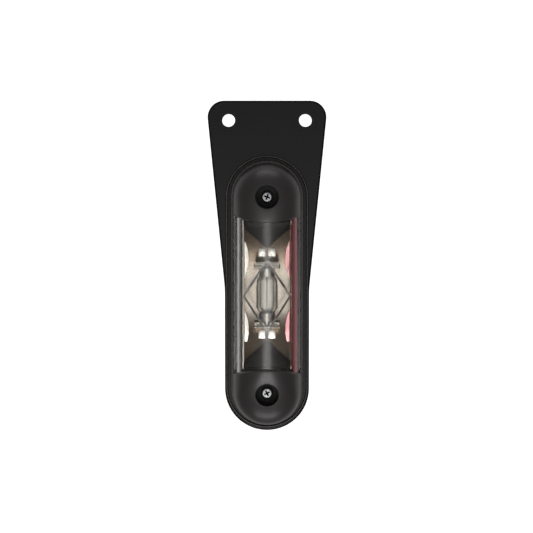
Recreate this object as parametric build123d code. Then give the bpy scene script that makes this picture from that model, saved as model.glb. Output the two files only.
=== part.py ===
"""Front and rear marker light on a tapered mounting plate.

The light hangs below two bolt holes. Its black plate lies against a flat panel, and a stadium-shaped
lamp stands off the plate's front: a black base tub, a metallised reflector with a 31 mm festoon bulb held
by two spring contacts, and a cover of clear lens, red side filter and two black end caps that two M3
screws hold down.

Frame, in millimetres: +X right, +Z up, front towards -Y. The origin is midway between the two bolt holes,
on the plate's back face. Heights are measured from that back face, so a height h lies at y = -h.
Positions along the lamp are measured from the lamp's own centre.
"""

from build123d import *
from math import cos, radians, sin, sqrt
import os

# --- mounting plate -------------------------------------------------------------------------------
BOLT_SPACING = 38.0
BOLT_HOLE_RADIUS = 3.2
BOLT_SEAT_RADIUS = 5.7
BOLT_SEAT_DEPTH = 0.6
PLATE_THICKNESS = 4.0
PLATE_TOP = 9.7
PLATE_TOP_HALF_WIDTH = 30.25          # where the sloping sides would meet the top edge
PLATE_TOP_CORNER = 8.2
PLATE_TAPER_END = -83.6
PLATE_END_RADIUS = 21.0
PLATE_END_CENTRE = -133.4
PLATE_WAIST_ROUND = 60.0
PLATE_EDGE_ROUND = 1.0
RIDGE_RADIUS = 20.5
RIDGE_WIDTH = 1.1
RIDGE_HEIGHT = 0.9
RIDGE_ROUND = 0.44

# --- lamp outline ---------------------------------------------------------------------------------
LAMP_CENTRE = -85.2
HALF_SPAN = 47.3                      # lamp centre to each round end's centre, where the screws stand
BASE_RADIUS = 17.7
COVER_RADIUS = 16.4

# --- heights above the plate's back face ----------------------------------------------------------
GASKET_THICKNESS = 0.8
BASE_BOTTOM = PLATE_THICKNESS + GASKET_THICKNESS
FLOOR_THICKNESS = 2.2
FLOOR_TOP = BASE_BOTTOM + FLOOR_THICKNESS
LAND = 11.3                           # shelf in the base that carries the cover seal
RIM = 12.8                            # top of the base
SKIRT_TOP = 18.0                      # where the straight sides of lens and caps turn into the arch
CAP_CROWN = 33.5
CAP_WALL = 1.2
CAP_SIDE_GAP = 0.2                    # between the cap's inside and the lens
LENS_CROWN = 32.0
LENS_WALL = 1.5
SCREW_SEAT = 22.6

# --- base -----------------------------------------------------------------------------------------
LAND_RADIUS = 16.55                   # the cover drops into this step
TUB_RADIUS = 13.9
BASE_EDGE_ROUND = 0.5
GASKET_INSET = 0.5
BOSS_ROOT = 0.5                       # how deep the bosses and posts are rooted in the floor
SEAL_MID_RADIUS = 15.2
SEAL_WIDTH = 1.5
SEAL_HEIGHT = 1.0
SEAL_ROUND = 0.35
SCREW_BOSS_RADIUS = 4.5
INSERT_RADIUS = 2.3
INSERT_BOTTOM = 6.0
INSERT_TOP = 11.2
INSERT_GROOVES = (7.2, 9.2)
INSERT_GROOVE_WIDTH = 0.8
INSERT_GROOVE_DEPTH = 0.25
FIXING_X = 8.5
FIXING_Z = 41.8
FIXING_BOSS_RADIUS = 2.9
FIXING_BOSS_TOP = 11.0
FIXING_BORE_TOP = 10.4
FIXING_SHANK_RADIUS = 1.45
FIXING_CLEARANCE = 0.15
FIXING_TIP = 10.3                     # height of the screws' tips, inside the bosses
FIXING_HEAD_RADIUS = 2.7
FIXING_HEAD_LOW = 0.3
FIXING_HEAD_ROUND = 0.6
FIXING_CROSS = (2.8, 0.7, 0.9)        # length, width and depth of each slot of the cross
FIXING_RECESS_RADIUS = 3.3
FIXING_RECESS_DEPTH = 2.5
WASHER_RADIUS = 3.0
WASHER_THICKNESS = 0.5
WASHER_CLEARANCE = 0.05
POST_X = 9.6
POST_Z = 5.0
POST_RADIUS = 1.6

# --- cover ----------------------------------------------------------------------------------------
CAP_EDGE = 35.0                       # lamp centre to the caps' lens-side edge, on the crown
CAP_EDGE_SAG = 3.3                    # how far that edge falls back at the sides
LENS_HALF_WIDTH = 15.1
LENS_ARCH_END = 39.6
SHELF_RADIUS = 14.9
SHELF_TOP = 15.5
WELL_RADIUS = 5.6
WELL_WALL = 1.2
WEB_THICKNESS = 2.5
PILLAR_RADIUS = 4.2
SCREW_CLEARANCE_RADIUS = 1.75
RING_RADIUS = 2.8
RING_HEIGHT = 1.4
PRISM_STEPS = ((10.0, 16.0, 0.4), (8.2, 13.2, 0.8))   # half-width, half-length, depth of the diamond

# --- cover screw, M3 x 16 pan head ----------------------------------------------------------------
SCREW_RADIUS = 1.5
SCREW_ROOT_RADIUS = 1.22
SCREW_PITCH = 0.5
SCREW_LENGTH = 16.0
SCREW_HEAD_RADIUS = 2.8
SCREW_HEAD_HEIGHT = 2.4
SCREW_HEAD_ROUND = 1.0
SCREW_CROSS = (3.2, 0.75, 1.5)        # length, width and depth of each slot of the cross
THREAD_LENGTH = 6.0
RUNNING_CLEARANCE = 0.05

# --- bulb, 10 x 31 mm festoon ---------------------------------------------------------------------
BULB_AXIS = 18.0
GLASS_RADIUS = 5.0
GLASS_WALL = 0.6
GLASS_HALF_LENGTH = 10.4
GLASS_SHOULDER = 6.2
NECK_START = 8.8
NECK_RADIUS = 3.4
BULB_CAP_RADIUS = 3.9
BULB_CAP_START = 9.0
BULB_CAP_END = 12.8
BULB_NIB_START = 13.3
BULB_NIB_END = 15.5
BULB_NIB_RADIUS = 1.5
FILAMENT_HALF_LENGTH = 5.0
FILAMENT_RADIUS = 0.3
LEAD_RADIUS = 0.22

# --- contacts -------------------------------------------------------------------------------------
LEAF_Z = 13.75
LEAF_THICKNESS = 0.5
LEAF_HALF_WIDTH = 5.9
LEAF_TOP = 21.0
NOTCH_HALF_WIDTH = 1.8
BRIDGE_HEIGHT = 13.2                  # where the leaf's outer leg is folded off its inner leg
OUTER_LEG_Z = 15.9
OUTER_LEG_TOP = 20.6
SLOT_START = 13.1
SLOT_END = 14.7
SLOT_SIDE_GAP = 0.5
STRIP_THICKNESS = 0.6
STRIP_HALF_WIDTH = 4.0
STRIP_START = 12.6
STRIP_END = 24.5
RIVET_Z = 19.0
RIVET_RADIUS = 1.4
RIVET_HEAD_RADIUS = 2.5
RIVET_HEAD_HEIGHT = 0.8
RIVET_HEAD_ROUND = 0.5
TAB_WIDTH = 4.8
TAB_REACH = 11.4
TAB_LIFT = 0.8                        # the spade tab's gap over the strip
TAB_HOLE = 0.8
TAB_HOLE_PLACE = 0.6                  # as a share of the tab's length

# --- reflector, baffles and filter ----------------------------------------------------------------
REFLECTOR_HALF_WIDTH = 12.0
REFLECTOR_HALF_LENGTH = 36.6
REFLECTOR_FLOOR = 11.6
REFLECTOR_SHEET = 1.0
DISH_FLAT = 7.0                       # the dish is flat to here, then curves up to its ends
DISH_RADIUS = 50.0
RIM_WIDTH = 0.8
RIM_LIFT = 1.6
COVER_CLEARANCE = 0.4                 # between the filter, the cover's innermost piece, and the reflector
LOBE_Z = 17.0
LOBE_RADIUS = 22.0
LOBE_EDGE = 9.1                       # how near the middle each side lobe comes
LOBE_LIFT = 1.2
RIB_HALF_WIDTH = 4.6
RIB_LIFT = 0.7
RIB_START = 18.0
BAFFLE_TIP = 23.0
BAFFLE_TIP_HALF_WIDTH = 2.2
BAFFLE_HALF_WIDTH = 11.0
BAFFLE_SHOULDER = 33.6
BAFFLE_END = 36.4
BAFFLE_LIFT = 1.2
BAFFLE_STEP = 2.4                     # how far the upper step's outline stands back from the lower one's
BAFFLE_NOSE = 1.0
BAFFLE_WAIST = (0.42, 0.52)           # the flanks curve in through here, as shares of their width and length
FILTER_WALL = 0.9
FILTER_GAP = 0.25
FILTER_HALF_LENGTH = 34.0
FILTER_INNER_EDGE = 11.4              # the filter covers the lens's right flank from here outwards

# --- cable grommet --------------------------------------------------------------------------------
GROMMET_BORE = 2.0
GROMMET_NECK = 4.2
GROMMET_FLANGE = 5.6
GROMMET_FLANGE_HEIGHT = 1.2
GROMMET_TAIL_LOW = 0.6
GROMMET_TAIL_ROUND = 1.6
PLATE_CABLE_HOLE = 6.2


def front(height):
    """The plane at this height above the back face, seen from the front: its x is X and its y is Z."""
    return Plane.XZ.offset(height)


def peg(x, z, radius, low, high):
    """A round bar standing on the plate, at x and at z along the lamp, from one height to another."""
    return extrude(front(low) * Pos(x, LAMP_CENTRE + z) * Circle(radius), amount=high - low)


def block(width, length, x, z, low, high):
    """A box on the plate, width across and length along the lamp, centred at x and at z along the lamp."""
    return extrude(front(low) * Pos(x, LAMP_CENTRE + z) * Rectangle(width, length), amount=high - low)


def side(x):
    """The plane along the lamp at this x: its x runs along the lamp, its y is the height."""
    return Plane(origin=(x, 0, LAMP_CENTRE), x_dir=(0, 0, 1), z_dir=(1, 0, 0))


def stadium(radius, low, high):
    """The lamp's outline at this end radius, from one height to another."""
    outline = SlotCenterToCenter(2 * HALF_SPAN, 2 * radius, rotation=90)
    return extrude(front(low) * Pos(0, LAMP_CENTRE) * outline, amount=high - low)


def section(z):
    """A plane across the lamp at z: its x is X, its y is the height, and it faces down the lamp."""
    return Plane(origin=(0, 0, LAMP_CENTRE + z), x_dir=(1, 0, 0), z_dir=(0, 0, -1))


def arch(half_width, crown, low, half_length):
    """A straight-sided tunnel with a half-elliptical roof, running along the lamp."""
    roof = Pos(0, SKIRT_TOP) * Ellipse(half_width, crown - SKIRT_TOP)
    side = Pos(0, (low + SKIRT_TOP) / 2) * Rectangle(2 * half_width, SKIRT_TOP - low)
    above = Pos(0, (low + crown) / 2) * Rectangle(2 * half_width, crown - low)
    outline = (roof & above) + side
    return extrude(section(half_length) * outline, amount=2 * half_length)


def dome(radius, crown, low):
    """The cover's upper round end: straight sides, then an arch that leans back to its crown."""
    reach = HALF_SPAN - CAP_EDGE
    start = LAMP_CENTRE + CAP_EDGE

    def outline(scale, height):
        r, c = radius * scale, reach * scale
        edge = Polyline((-r, c), (-r, 0), (r, 0), (r, c))
        end = ThreePointArc((r, c), (0, c + r), (-r, c))
        return front(height) * Pos(0, start) * make_face(edge + end)

    skirt = extrude(outline(1.0, low), amount=SKIRT_TOP - low)
    rise = crown - SKIRT_TOP
    angles = (0, 16, 32, 47, 60, 71, 80, 86)
    layers = [outline(cos(radians(a)), SKIRT_TOP + rise * sin(radians(a))) for a in angles]
    return skirt + loft(layers)


def both_ends(shape):
    """A piece for the upper end and its twin for the lower end."""
    return [shape, mirror(shape, about=Plane.XY.offset(LAMP_CENTRE))]


def tube(outer, inner, x, z, low, high):
    return peg(x, z, outer, low, high) - peg(x, z, inner, low, high)


def spin(points, height):
    """A solid turned about the line along the lamp at this height; points are (z, radius)."""
    plane = Plane(origin=(0, -height, LAMP_CENTRE), x_dir=(0, 0, 1), z_dir=(-1, 0, 0))
    axis = Axis((0, -height, LAMP_CENTRE), (0, 0, 1))
    return revolve(plane * make_face(Polyline(*points, close=True)), axis=axis)


# --- plate and its fixings ------------------------------------------------------------------------
def make_mounting_plate():
    outline = make_face(
        Polyline(
            (-PLATE_TOP_HALF_WIDTH, PLATE_TOP),
            (PLATE_TOP_HALF_WIDTH, PLATE_TOP),
            (PLATE_END_RADIUS, PLATE_TAPER_END),
            (PLATE_END_RADIUS, PLATE_END_CENTRE),
        )
        + ThreePointArc(
            (PLATE_END_RADIUS, PLATE_END_CENTRE),
            (0, PLATE_END_CENTRE - PLATE_END_RADIUS),
            (-PLATE_END_RADIUS, PLATE_END_CENTRE),
        )
        + Polyline(
            (-PLATE_END_RADIUS, PLATE_END_CENTRE),
            (-PLATE_END_RADIUS, PLATE_TAPER_END),
            (-PLATE_TOP_HALF_WIDTH, PLATE_TOP),
        )
    )
    corners = outline.vertices()
    outline = fillet(corners.filter_by(lambda v: v.Y > 0), PLATE_TOP_CORNER)
    waist = outline.vertices().filter_by(lambda v: abs(v.Y - PLATE_TAPER_END) < 0.01)
    outline = fillet(waist, PLATE_WAIST_ROUND)
    plate = extrude(front(0) * outline, amount=PLATE_THICKNESS)
    plate = fillet(plate.faces().sort_by(Axis.Y)[0].edges(), PLATE_EDGE_ROUND)
    ridge = stadium(RIDGE_RADIUS, PLATE_THICKNESS, PLATE_THICKNESS + RIDGE_HEIGHT)
    ridge -= stadium(RIDGE_RADIUS - RIDGE_WIDTH, PLATE_THICKNESS, PLATE_THICKNESS + RIDGE_HEIGHT)
    crest = ridge.faces().sort_by(Axis.Y)[0].edges()
    plate += fillet(crest, RIDGE_ROUND)
    for x in (-BOLT_SPACING / 2, BOLT_SPACING / 2):
        plate -= extrude(front(0) * Pos(x, 0) * Circle(BOLT_HOLE_RADIUS), amount=PLATE_THICKNESS)
        seat = front(PLATE_THICKNESS - BOLT_SEAT_DEPTH) * Pos(x, 0) * Circle(BOLT_SEAT_RADIUS)
        plate -= extrude(seat, amount=BOLT_SEAT_DEPTH)
    for x, z in fixing_places():
        plate -= peg(x, z, FIXING_RECESS_RADIUS, 0, FIXING_RECESS_DEPTH)
        plate -= peg(x, z, FIXING_SHANK_RADIUS + FIXING_CLEARANCE, 0, PLATE_THICKNESS)
    return plate - peg(0, 0, PLATE_CABLE_HOLE, 0, PLATE_THICKNESS)


def fixing_places():
    return [(x, z) for x in (-FIXING_X, FIXING_X) for z in (-FIXING_Z, FIXING_Z)]


def make_base_fixing_screws():
    screws = []
    seat = FIXING_RECESS_DEPTH - WASHER_THICKNESS
    length, width, depth = FIXING_CROSS
    for x, z in fixing_places():
        head = peg(x, z, FIXING_HEAD_RADIUS, FIXING_HEAD_LOW, seat)
        head = fillet(head.faces().sort_by(Axis.Y)[-1].edges(), FIXING_HEAD_ROUND)
        for turn in (0, 90):
            slot = front(FIXING_HEAD_LOW) * Pos(x, LAMP_CENTRE + z) * Rectangle(length, width, rotation=turn)
            head -= extrude(slot, amount=depth)
        screws.append(head + peg(x, z, FIXING_SHANK_RADIUS, seat, FIXING_TIP))
    return Compound(screws)


def make_base_fixing_washers():
    bore = FIXING_SHANK_RADIUS + WASHER_CLEARANCE
    low, high = FIXING_RECESS_DEPTH - WASHER_THICKNESS, FIXING_RECESS_DEPTH
    return Compound([tube(WASHER_RADIUS, bore, x, z, low, high) for x, z in fixing_places()])


def make_base_gasket():
    sheet = stadium(BASE_RADIUS - GASKET_INSET, PLATE_THICKNESS, BASE_BOTTOM)
    sheet -= peg(0, 0, PLATE_CABLE_HOLE, PLATE_THICKNESS, BASE_BOTTOM)
    for x, z in fixing_places():
        sheet -= peg(x, z, FIXING_SHANK_RADIUS + FIXING_CLEARANCE, PLATE_THICKNESS, BASE_BOTTOM)
    return sheet


# --- base and what it holds -----------------------------------------------------------------------
def make_base_housing():
    base = stadium(BASE_RADIUS, BASE_BOTTOM, RIM)
    base = fillet(base.faces().sort_by(Axis.Y)[0].edges(), BASE_EDGE_ROUND)
    base -= stadium(LAND_RADIUS, LAND, RIM)
    base -= stadium(TUB_RADIUS, FLOOR_TOP, LAND)
    groove_low = LAND - SEAL_HEIGHT
    base -= stadium(SEAL_MID_RADIUS + SEAL_WIDTH / 2, groove_low, LAND) - stadium(
        SEAL_MID_RADIUS - SEAL_WIDTH / 2, groove_low, LAND
    )
    for z in (-HALF_SPAN, HALF_SPAN):
        base += peg(0, z, SCREW_BOSS_RADIUS, FLOOR_TOP - BOSS_ROOT, LAND)
        base -= peg(0, z, INSERT_RADIUS, INSERT_BOTTOM, LAND)
    for x, z in fixing_places():
        base += peg(x, z, FIXING_BOSS_RADIUS, FLOOR_TOP - BOSS_ROOT, FIXING_BOSS_TOP)
        base -= peg(x, z, FIXING_SHANK_RADIUS, BASE_BOTTOM, FIXING_BORE_TOP)
    for x in (-POST_X, POST_X):
        for z in (-POST_Z, POST_Z):
            base += peg(x, z, POST_RADIUS, FLOOR_TOP - BOSS_ROOT, REFLECTOR_FLOOR - REFLECTOR_SHEET)
    for z in (-RIVET_Z, RIVET_Z):
        base -= peg(0, z, RIVET_RADIUS, BASE_BOTTOM, FLOOR_TOP)
        base -= peg(0, z, RIVET_HEAD_RADIUS, BASE_BOTTOM, BASE_BOTTOM + RIVET_HEAD_HEIGHT)
    return base - peg(0, 0, GROMMET_NECK, BASE_BOTTOM, FLOOR_TOP)


def make_threaded_inserts():
    bore = SCREW_RADIUS + RUNNING_CLEARANCE
    inserts = []
    for z in (-HALF_SPAN, HALF_SPAN):
        insert = tube(INSERT_RADIUS, bore, 0, z, INSERT_BOTTOM, INSERT_TOP)
        for low in INSERT_GROOVES:
            root = INSERT_RADIUS - INSERT_GROOVE_DEPTH
            insert -= tube(INSERT_RADIUS, root, 0, z, low, low + INSERT_GROOVE_WIDTH)
        inserts.append(insert)
    return Compound(inserts)


def make_cover_seal():
    half = SEAL_WIDTH / 2
    low = LAND - SEAL_HEIGHT
    ring = stadium(SEAL_MID_RADIUS + half, low, LAND) - stadium(SEAL_MID_RADIUS - half, low, LAND)
    return fillet(ring.faces().sort_by(Axis.Y)[0].edges(), SEAL_ROUND)


def make_cable_grommet():
    flange_top = FLOOR_TOP + GROMMET_FLANGE_HEIGHT
    body = peg(0, 0, GROMMET_NECK, BASE_BOTTOM, FLOOR_TOP)
    body += peg(0, 0, GROMMET_FLANGE, FLOOR_TOP, flange_top)
    tail = peg(0, 0, GROMMET_FLANGE, GROMMET_TAIL_LOW, BASE_BOTTOM)
    body += fillet(tail.faces().sort_by(Axis.Y)[-1].edges(), GROMMET_TAIL_ROUND)
    return body - peg(0, 0, GROMMET_BORE, 0, flange_top)


def dish_height(z, lift):
    """Height of the reflector's curve at z along the lamp, this far off its surface."""
    reach = max(abs(z) - DISH_FLAT, 0)
    return REFLECTOR_FLOOR + DISH_RADIUS - sqrt((DISH_RADIUS - lift) ** 2 - reach**2)


def dish(left, right, low, high):
    """A band between two places in x that follows the reflector's curve, from one lift to another."""
    end = REFLECTOR_HALF_LENGTH

    def curve(lift):
        places = (-end, -(end + DISH_FLAT) / 2, -DISH_FLAT, DISH_FLAT, (end + DISH_FLAT) / 2, end)
        points = [(z, dish_height(z, lift)) for z in places]
        return ThreePointArc(*points[:3]) + Line(*points[2:4]) + ThreePointArc(*points[3:])

    ends = [Line((z, dish_height(z, low)), (z, dish_height(z, high))) for z in (-end, end)]
    return extrude(side(left) * make_face(curve(low) + curve(high) + ends), amount=right - left)


def inside_cover():
    """The space under the lens and its filter, less a clearance."""
    inset = LENS_WALL + FILTER_GAP + FILTER_WALL + COVER_CLEARANCE
    return arch(LENS_HALF_WIDTH - inset, LENS_CROWN - inset, 0, REFLECTOR_HALF_LENGTH + 1)


def make_reflector():
    """A metallised dish that curves up to its ends, with rims, lobes, ribs and the contacts' slots."""
    half, rim_x = REFLECTOR_HALF_WIDTH, REFLECTOR_HALF_WIDTH - RIM_WIDTH
    tray = dish(-half, half, -REFLECTOR_SHEET, 0)
    tray += dish(-half, -rim_x, -REFLECTOR_SHEET, RIM_LIFT) + dish(rim_x, half, -REFLECTOR_SHEET, RIM_LIFT)
    lobe_band = dish(-rim_x, rim_x, -REFLECTOR_SHEET / 2, LOBE_LIFT)
    rib_band = dish(-RIB_HALF_WIDTH, RIB_HALF_WIDTH, -REFLECTOR_SHEET / 2, RIB_LIFT)
    rib_length = BAFFLE_TIP - RIB_START
    for way in (-1, 1):
        for x in (-(LOBE_EDGE + LOBE_RADIUS), LOBE_EDGE + LOBE_RADIUS):
            tray += lobe_band & peg(x, way * LOBE_Z, LOBE_RADIUS, 0, CAP_CROWN)
        rib_z = way * (RIB_START + rib_length / 2)
        tray += rib_band & block(2 * RIB_HALF_WIDTH, rib_length, 0, rib_z, 0, CAP_CROWN)
        slot_z = way * (SLOT_START + SLOT_END) / 2
        tray -= block(2 * (LEAF_HALF_WIDTH + SLOT_SIDE_GAP), SLOT_END - SLOT_START, 0, slot_z, 0, CAP_CROWN)
    return tray & inside_cover()


def make_baffle():
    """Dark tongue over the reflector's upper end, in two steps, pointing at the bulb."""

    def tongue(inset, low, high):
        wide, narrow = BAFFLE_HALF_WIDTH - inset, BAFFLE_TIP_HALF_WIDTH - inset / 3
        tip, shoulder = BAFFLE_TIP + inset, BAFFLE_SHOULDER + inset / 3
        share_x, share_z = BAFFLE_WAIST
        waist = (narrow + share_x * (wide - narrow), tip + share_z * (shoulder - tip))
        flank = Line((wide, BAFFLE_END), (wide, shoulder))
        flank += ThreePointArc((wide, shoulder), waist, (narrow, tip + BAFFLE_NOSE))
        nose = ThreePointArc((narrow, tip + BAFFLE_NOSE), (0, tip), (-narrow, tip + BAFFLE_NOSE))
        foot = Line((-wide, BAFFLE_END), (wide, BAFFLE_END))
        outline = make_face(flank + nose + mirror(flank, Plane.YZ) + foot)
        column = extrude(front(0) * Pos(0, LAMP_CENTRE) * outline, amount=CAP_CROWN)
        return dish(-BAFFLE_HALF_WIDTH, BAFFLE_HALF_WIDTH, low, high) & column & inside_cover()

    return tongue(0, 0, BAFFLE_LIFT) + tongue(BAFFLE_STEP, 0, 2 * BAFFLE_LIFT)


def make_terminal_strip():
    """Brass strip riveted to the base's floor, with a spade tab beside it. This one is for the upper end."""
    top = FLOOR_TOP + STRIP_THICKNESS
    middle = (STRIP_START + STRIP_END) / 2
    strip = block(2 * STRIP_HALF_WIDTH, STRIP_END - STRIP_START, 0, middle, FLOOR_TOP, top)
    strip -= peg(0, RIVET_Z, RIVET_RADIUS, FLOOR_TOP, top)
    tab_z = STRIP_END - TAB_WIDTH / 2
    riser_x = STRIP_HALF_WIDTH - STRIP_THICKNESS / 2
    tab_low, tab_high = top + TAB_LIFT, top + TAB_LIFT + STRIP_THICKNESS
    strip += block(STRIP_THICKNESS, TAB_WIDTH, riser_x, tab_z, FLOOR_TOP, tab_high)
    reach = TAB_REACH - STRIP_HALF_WIDTH
    tab = block(reach, TAB_WIDTH, STRIP_HALF_WIDTH + reach / 2, tab_z, tab_low, tab_high)
    tab -= peg(STRIP_HALF_WIDTH + TAB_HOLE_PLACE * reach, tab_z, TAB_HOLE, tab_low, tab_high)
    return strip + tab


def make_contact_leaf():
    """Folded spring leaf that grips the bulb's upper end. Its foot is rounded where it flexes."""
    pivot = FLOOR_TOP + STRIP_THICKNESS + LEAF_THICKNESS / 2
    width = 2 * LEAF_HALF_WIDTH
    inner_leg = block(width, LEAF_THICKNESS, 0, LEAF_Z, pivot, LEAF_TOP)
    foot = extrude(side(-LEAF_HALF_WIDTH) * Pos(LEAF_Z, pivot) * Circle(LEAF_THICKNESS / 2), amount=width)
    fold_start, fold_end = LEAF_Z - LEAF_THICKNESS / 2, OUTER_LEG_Z + LEAF_THICKNESS / 2
    fold_length, fold_z = fold_end - fold_start, (fold_start + fold_end) / 2
    fold = block(width, fold_length, 0, fold_z, BRIDGE_HEIGHT, BRIDGE_HEIGHT + LEAF_THICKNESS)
    outer_leg = block(width, LEAF_THICKNESS, 0, OUTER_LEG_Z, BRIDGE_HEIGHT, OUTER_LEG_TOP)
    notch = block(2 * NOTCH_HALF_WIDTH, 6, 0, LEAF_Z + 1, BULB_AXIS, LEAF_TOP + 1)
    seat = extrude(section(LEAF_Z + 4) * Pos(0, BULB_AXIS) * Circle(NOTCH_HALF_WIDTH), amount=6)
    return inner_leg + foot + fold + outer_leg - notch - seat


def make_contact_rivets():
    rivets = []
    strip_top = FLOOR_TOP + STRIP_THICKNESS
    for z in (-RIVET_Z, RIVET_Z):
        rivet = peg(0, z, RIVET_RADIUS, BASE_BOTTOM, strip_top)
        rivet += peg(0, z, RIVET_HEAD_RADIUS, BASE_BOTTOM, BASE_BOTTOM + RIVET_HEAD_HEIGHT)
        head = peg(0, z, RIVET_HEAD_RADIUS, strip_top, strip_top + RIVET_HEAD_HEIGHT)
        rivet += fillet(head.faces().sort_by(Axis.Y)[0].edges(), RIVET_HEAD_ROUND)
        rivets.append(rivet)
    return Compound(rivets)


# --- bulb -----------------------------------------------------------------------------------------
def make_bulb_glass():
    """Tubular glass, hollow, with a rounded shoulder and a narrower neck at each end for the metal caps."""

    def turned(radius, neck, neck_start, half_length):
        bend = ((GLASS_SHOULDER + neck_start) / 2 + 0.2, (radius + neck) / 2 + 0.25)
        right = Spline((GLASS_SHOULDER, radius), bend, (neck_start, neck), tangents=((1, 0), (0.4, -1)))
        edge = Line((0, radius), (GLASS_SHOULDER, radius)) + right
        edge += Polyline((neck_start, neck), (half_length, neck), (half_length, 0), (0, 0), (0, radius))
        half = revolve(bulb_plane * make_face(edge), axis=bulb_axis)
        return half + mirror(half, about=Plane.XY.offset(LAMP_CENTRE))

    bulb_plane = Plane(origin=(0, -BULB_AXIS, LAMP_CENTRE), x_dir=(0, 0, 1), z_dir=(-1, 0, 0))
    bulb_axis = Axis((0, -BULB_AXIS, LAMP_CENTRE), (0, 0, 1))
    outside = turned(GLASS_RADIUS, NECK_RADIUS, NECK_START, GLASS_HALF_LENGTH)
    inside = turned(
        GLASS_RADIUS - GLASS_WALL, NECK_RADIUS - GLASS_WALL, NECK_START - 0.2, GLASS_HALF_LENGTH - GLASS_WALL
    )
    return outside - inside


def make_bulb_end_caps():
    sleeve = spin(
        [
            (BULB_CAP_START, NECK_RADIUS),
            (BULB_CAP_START, BULB_CAP_RADIUS),
            (BULB_CAP_END, BULB_CAP_RADIUS),
            (BULB_NIB_START, BULB_NIB_RADIUS),
            (BULB_NIB_END - 0.6, BULB_NIB_RADIUS - 0.3),
            (BULB_NIB_END, BULB_NIB_RADIUS - 0.9),
            (BULB_NIB_END, 0),
            (GLASS_HALF_LENGTH, 0),
            (GLASS_HALF_LENGTH, NECK_RADIUS),
        ],
        BULB_AXIS,
    )
    return Compound(both_ends(sleeve))


def along(radius, start, end):
    """A thin round wire on the bulb's axis."""
    plane = section(end)
    return extrude(plane * Pos(0, BULB_AXIS) * Circle(radius), amount=end - start)


def make_bulb_filament():
    return along(FILAMENT_RADIUS, -FILAMENT_HALF_LENGTH, FILAMENT_HALF_LENGTH)


def make_bulb_lead_wires():
    return Compound(both_ends(along(LEAD_RADIUS, FILAMENT_HALF_LENGTH, GLASS_HALF_LENGTH - GLASS_WALL)))


# --- cover ----------------------------------------------------------------------------------------
def make_lens():
    """One clear moulding: flange, arched window with a diamond inside, and a screw pillar at each end."""
    inner_width = LENS_HALF_WIDTH - LENS_WALL
    solid = stadium(COVER_RADIUS, LAND, RIM)
    solid += stadium(SHELF_RADIUS, RIM, SHELF_TOP)
    solid += arch(LENS_HALF_WIDTH, LENS_CROWN, LAND, LENS_ARCH_END)
    hollow = stadium(inner_width, LAND, SHELF_TOP - LENS_WALL)
    hollow += arch(inner_width, LENS_CROWN - LENS_WALL, LAND, LENS_ARCH_END - LENS_WALL)
    lens = solid - hollow
    for half_width, half_length, depth in PRISM_STEPS:
        pad = arch(inner_width, LENS_CROWN - LENS_WALL, LAND, half_length)
        pad -= arch(inner_width - depth, LENS_CROWN - LENS_WALL - depth, 0, half_length + 1)
        diamond = make_face(
            Polyline((half_width, 0), (0, half_length), (-half_width, 0), (0, -half_length), close=True)
        )
        lens += pad & extrude(front(SKIRT_TOP) * Pos(0, LAMP_CENTRE) * diamond, amount=LENS_CROWN - SKIRT_TOP)
    web_bottom = SCREW_SEAT - WEB_THICKNESS
    for z in (-HALF_SPAN, HALF_SPAN):
        lens += peg(0, z, PILLAR_RADIUS, LAND, web_bottom)
        lens -= peg(0, z, SCREW_CLEARANCE_RADIUS, LAND, web_bottom)
        lens -= peg(0, z, RING_RADIUS, LAND, LAND + RING_HEIGHT)
    return lens


def make_upper_end_cap():
    """Black dome over the lens's end, with a well for the cover screw."""
    shell = dome(COVER_RADIUS, CAP_CROWN, RIM)
    hollow_radius = LENS_HALF_WIDTH + CAP_SIDE_GAP
    hollow_crown = CAP_CROWN - CAP_WALL
    tunnel = arch(hollow_radius, hollow_crown, RIM - 1, CAP_EDGE + 0.01)
    hollow = dome(hollow_radius, hollow_crown, RIM - 1) + tunnel
    web_bottom = SCREW_SEAT - WEB_THICKNESS
    well = peg(0, HALF_SPAN, WELL_RADIUS + WELL_WALL, web_bottom, CAP_CROWN) & shell
    cap = shell - hollow + well
    cap -= peg(0, HALF_SPAN, WELL_RADIUS, SCREW_SEAT, CAP_CROWN + 1)
    cap -= peg(0, HALF_SPAN, SCREW_CLEARANCE_RADIUS, web_bottom - 1, SCREW_SEAT)
    edge_radius = (COVER_RADIUS**2 + CAP_EDGE_SAG**2) / (2 * CAP_EDGE_SAG)
    return cap & peg(0, CAP_EDGE + edge_radius, edge_radius, 0, CAP_CROWN + 1)


def make_red_filter():
    """Red window inside the lens's right flank: a strip of the same arch, a little smaller."""
    outer = LENS_HALF_WIDTH - LENS_WALL - FILTER_GAP
    crown = LENS_CROWN - LENS_WALL - FILTER_GAP
    low = LAND + 0.4
    strip = arch(outer, crown, low, FILTER_HALF_LENGTH)
    strip -= arch(outer - FILTER_WALL, crown - FILTER_WALL, low - 1, FILTER_HALF_LENGTH + 1)
    flank = block(outer, 2 * FILTER_HALF_LENGTH + 2, FILTER_INNER_EDGE + outer / 2, 0, 0, CAP_CROWN)
    return strip & flank


def make_screw_retaining_rings():
    bore = SCREW_RADIUS + RUNNING_CLEARANCE
    high = LAND + RING_HEIGHT
    return Compound([tube(RING_RADIUS, bore, 0, z, LAND, high) for z in (-HALF_SPAN, HALF_SPAN)])


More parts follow.
